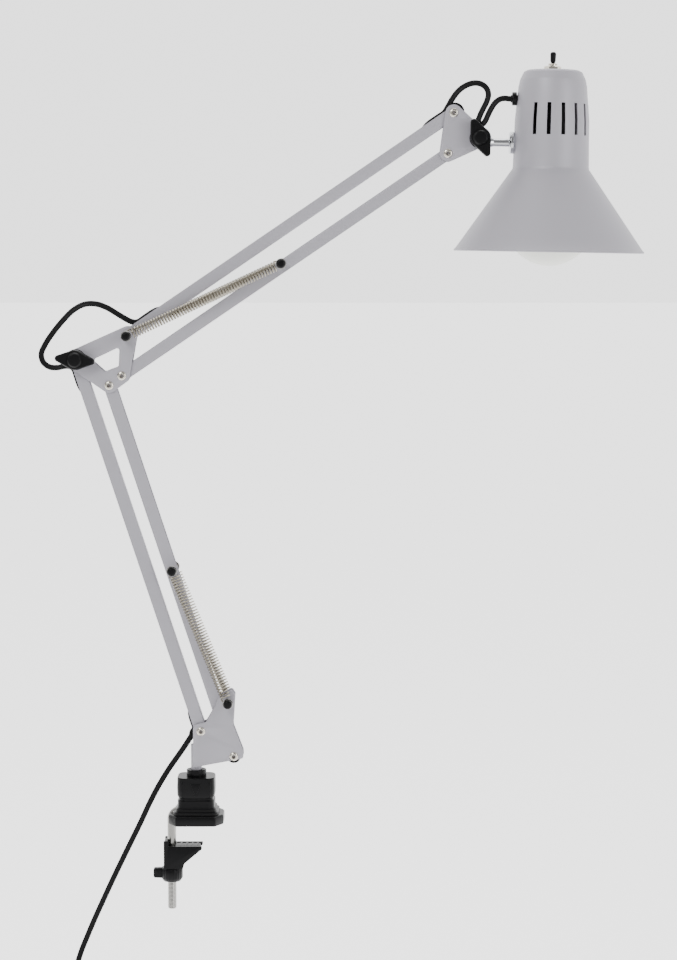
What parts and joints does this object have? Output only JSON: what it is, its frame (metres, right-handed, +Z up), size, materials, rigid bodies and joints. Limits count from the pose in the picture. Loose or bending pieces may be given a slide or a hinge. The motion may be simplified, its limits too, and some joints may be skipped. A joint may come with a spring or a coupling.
{
  "type": "swing arm desk lamp",
  "caption": "Clamp-mounted desk lamp: two sprung parallelogram arms of channel bars carry a vented bell shade on a tilting, turning head.",
  "frame": {"origin": "on the swivel axis, at the underside of the clamp's foot, which rests on the table top", "axes": "+X towards the lamp head, in the plane the arms swing in; +Z up along the swivel post; +Y to the back"},
  "size_m": [0.5434, 0.1706, 1.0168],
  "materials": {
    "grey_paint": "satin silver-grey powder coat",
    "black_plastic": "glossy black moulding",
    "nylon": "matt black nylon",
    "zinc_steel": "zinc plated",
    "nickel": "nickel plated, slightly warm",
    "spring_steel": "drawn spring wire",
    "cable_black": "black flexible sheath",
    "chrome": "polished",
    "holder": "heat resistant black moulding",
    "frosted_glass": "frosted opal lamp, opaque from outside"
  },
  "bodies": {
    "clamp": {"clamp_base": "black_plastic", "clamp_rod": "zinc_steel", "post_bush": "nylon"},
    "jaw": {"clamp_jaw": "black_plastic"},
    "clamp_nut": {"clamp_nut": "black_plastic"},
    "turret": {"swivel_post": "zinc_steel", "base_bracket": "grey_paint", "base_rear_rivet": "nickel", "base_front_rivet": "nickel", "base_stud_front": "zinc_steel", "base_stud_back": "zinc_steel", "base_stud_cap_front": "black_plastic", "base_stud_cap_back": "black_plastic", "mains_cord": "cable_black", "cord_hank": "cable_black", "plug": "cable_black"},
    "lower_rear": {"lower_rear_bar": "grey_paint", "lower_cable": "cable_black"},
    "lower_front": {"lower_front_bar": "grey_paint", "lower_spring_pin": "zinc_steel", "lower_spring_pin_cap_front": "black_plastic", "lower_spring_pin_cap_back": "black_plastic", "lower_spring_front": "spring_steel", "lower_spring_back": "spring_steel"},
    "elbow": {"elbow_plate_front": "grey_paint", "elbow_plate_back": "grey_paint", "elbow_bolt": "zinc_steel", "elbow_washer": "nylon", "elbow_left_rivet": "nickel", "elbow_right_rivet": "nickel", "elbow_spring_pin": "zinc_steel", "elbow_spring_pin_cap_front": "black_plastic", "elbow_spring_pin_cap_back": "black_plastic", "elbow_cable": "cable_black"},
    "elbow_knob": {"elbow_wing_nut": "black_plastic"},
    "upper_top": {"upper_top_bar": "grey_paint", "upper_cable": "cable_black"},
    "upper_bottom": {"upper_bottom_bar": "grey_paint", "upper_spring_pin": "zinc_steel", "upper_spring_pin_cap_front": "black_plastic", "upper_spring_pin_cap_back": "black_plastic", "upper_spring_front": "spring_steel", "upper_spring_back": "spring_steel"},
    "head_bracket": {"head_plate_front": "grey_paint", "head_plate_back": "grey_paint", "head_top_rivet": "nickel", "head_bottom_rivet": "nickel", "head_bolt": "zinc_steel", "head_washer": "nylon", "head_cable": "cable_black"},
    "head_knob": {"head_wing_nut": "black_plastic"},
    "stem": {"head_stem": "chrome"},
    "shade": {"shade": "grey_paint", "stem_flange": "chrome", "cable_gland": "black_plastic", "lamp_holder": "holder", "bulb": "frosted_glass", "switch_body": "nylon", "switch_nut": "nickel"},
    "lever": {"switch_lever": "black_plastic"}
  },
  "joints": [
    {"name": "clamp_nut_spin", "type": "hinge", "parent": "jaw", "child": "clamp_nut", "pos_m": [-0.0229, 0, -0.048], "axis": [0, 0, 1], "range_deg": [-5760, 5760]},
    {"name": "jaw_slide", "type": "slide", "parent": "clamp", "child": "jaw", "axis": [0, 0, 1], "range_m": [-0.0201, 0.0201]},
    {"name": "swivel", "type": "hinge", "parent": "clamp", "child": "turret", "pos_m": [0, 0, 0.05], "axis": [0, 0, 1], "continuous": true},
    {"name": "lower_arm_tilt", "type": "hinge", "parent": "turret", "child": "lower_rear", "pos_m": [0.0046, 0, 0.085], "axis": [0, 1, 0], "range_deg": [-14, 60]},
    {"name": "lower_front_tilt", "type": "hinge", "parent": "turret", "child": "lower_front", "pos_m": [0.0344, 0, 0.0618], "axis": [0, 1, 0], "range_deg": [-14.05, 60.05], "deforming": ["lower_spring_front", "lower_spring_back"]},
    {"name": "elbow_level", "type": "hinge", "parent": "lower_rear", "child": "elbow", "pos_m": [-0.106, 0, 0.42338], "axis": [0, 1, 0], "range_deg": [-60.05, 14.05], "deforming": ["elbow_cable"]},
    {"name": "elbow_knob_spin", "type": "hinge", "parent": "elbow", "child": "elbow_knob", "pos_m": [-0.106, -0.015, 0.42338], "axis": [0, 1, 0], "continuous": true},
    {"name": "upper_arm_tilt", "type": "hinge", "parent": "elbow", "child": "upper_top", "pos_m": [-0.0598, 0, 0.44458], "axis": [0, 1, 0], "range_deg": [-25, 60]},
    {"name": "upper_bottom_tilt", "type": "hinge", "parent": "elbow", "child": "upper_bottom", "pos_m": [-0.0648, 0, 0.40878], "axis": [0, 1, 0], "range_deg": [-25.05, 60.05], "deforming": ["upper_spring_front", "upper_spring_back"]},
    {"name": "head_level", "type": "hinge", "parent": "upper_top", "child": "head_bracket", "pos_m": [0.23233, 0, 0.64274], "axis": [0, 1, 0], "range_deg": [-60.05, 25.05]},
    {"name": "head_knob_spin", "type": "hinge", "parent": "head_bracket", "child": "head_knob", "pos_m": [0.25569, -0.015, 0.62042], "axis": [0, 1, 0], "continuous": true},
    {"name": "head_tilt", "type": "hinge", "parent": "head_bracket", "child": "stem", "pos_m": [0.25569, 0, 0.62042], "axis": [0, 1, 0], "range_deg": [-70, 40], "deforming": ["head_cable"]},
    {"name": "head_roll", "type": "hinge", "parent": "stem", "child": "shade", "pos_m": [0.28823, 0, 0.61635], "axis": [0.9998, 0, -0.0175], "range_deg": [-90, 90]},
    {"name": "switch_toggle", "type": "hinge", "parent": "shade", "child": "lever", "pos_m": [0.3204, 0, 0.6778], "axis": [-0.9998, 0, 0.0175], "range_deg": [0, 16]}
  ],
  "couplings": [
    {"joint": "jaw_slide", "follows": "clamp_nut_spin", "m_per_rad": 0.00019894},
    {"joint": "lower_front_tilt", "follows": "lower_arm_tilt", "ratio": 1},
    {"joint": "elbow_level", "follows": "lower_arm_tilt", "ratio": -1},
    {"joint": "upper_bottom_tilt", "follows": "upper_arm_tilt", "ratio": 1},
    {"joint": "head_level", "follows": "upper_arm_tilt", "ratio": -1}
  ]
}
